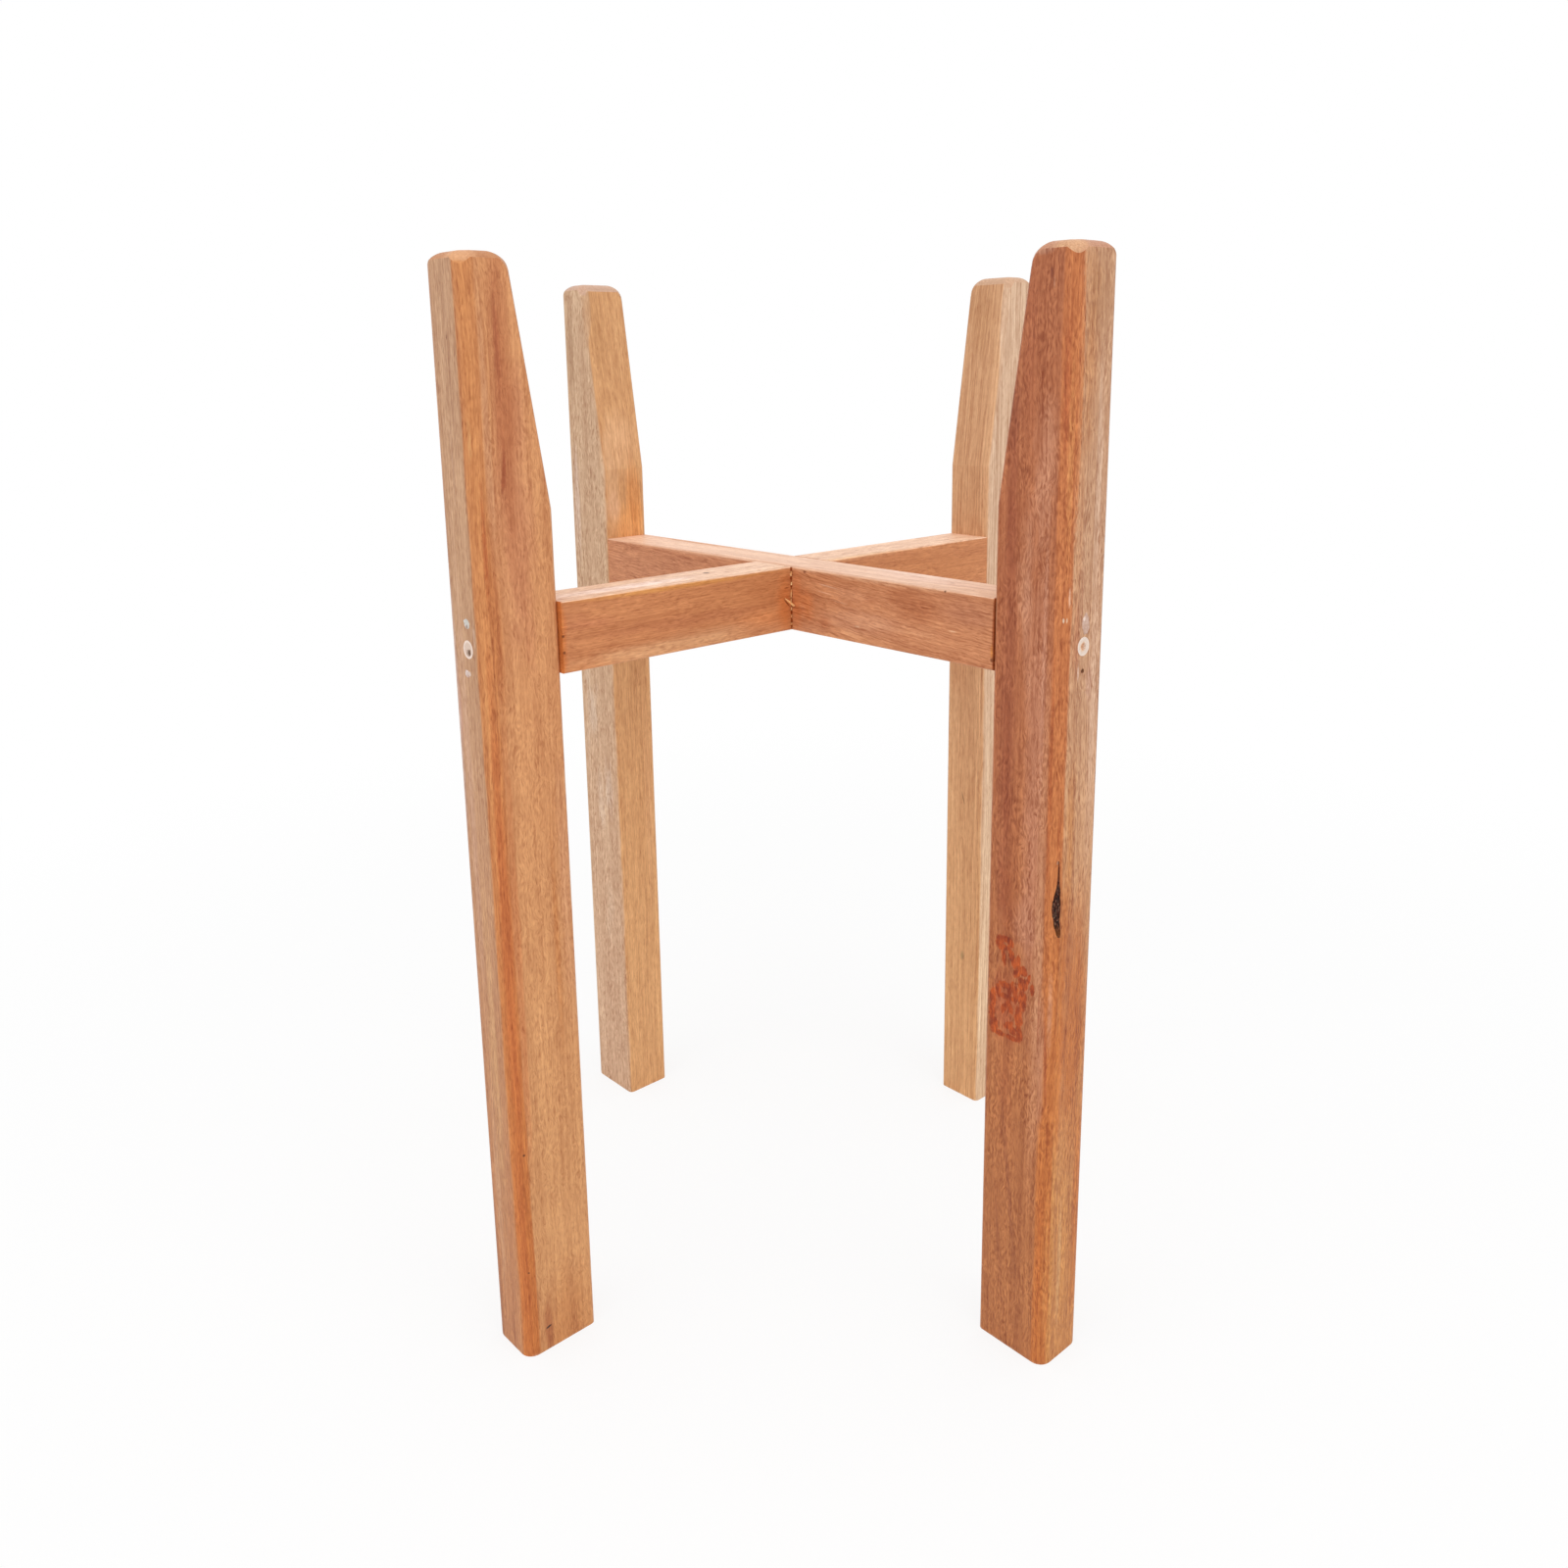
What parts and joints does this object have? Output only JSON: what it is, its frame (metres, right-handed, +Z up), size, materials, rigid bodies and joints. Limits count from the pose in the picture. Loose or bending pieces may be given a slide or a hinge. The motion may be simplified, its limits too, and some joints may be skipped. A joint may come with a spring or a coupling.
{
  "type": "plant stand",
  "caption": "Timber plant stand: upright legs on the ends of two half-lapped cross rails that carry a round pot between the leg tops.",
  "frame": {"origin": "on the floor, in the middle between the four legs", "axes": "+Z up; the lower cross rail runs along X with the front left leg at -X and the back right leg at +X; the upper cross rail runs along Y with the front right leg at -Y and the back left leg at +Y"},
  "size_m": [0.382, 0.382, 0.53],
  "materials": {
    "leg_wood": "sanded and lightly oiled hardwood",
    "rail_wood": "sanded and lightly oiled hardwood",
    "screw_steel": "zinc plated",
    "brad_steel": "galvanised",
    "wood_filler": "dry sanded filler"
  },
  "bodies": {
    "root": {"leg_front_left": "leg_wood", "leg_front_right": "leg_wood", "leg_back_left": "leg_wood", "leg_back_right": "leg_wood", "lower_cross_rail": "rail_wood", "upper_cross_rail": "rail_wood", "screw_front_left": "screw_steel", "screw_front_right": "screw_steel", "screw_back_left": "screw_steel", "screw_back_right": "screw_steel", "screw_filler_front_left": "wood_filler", "screw_filler_front_right": "wood_filler", "screw_filler_back_left": "wood_filler", "screw_filler_back_right": "wood_filler", "brads_front_left": "brad_steel", "brads_front_right": "brad_steel", "brads_back_left": "brad_steel", "brads_back_right": "brad_steel", "brad_filler_front_left": "wood_filler", "brad_filler_front_right": "wood_filler", "brad_filler_back_left": "wood_filler", "brad_filler_back_right": "wood_filler"}
  },
  "joints": []
}
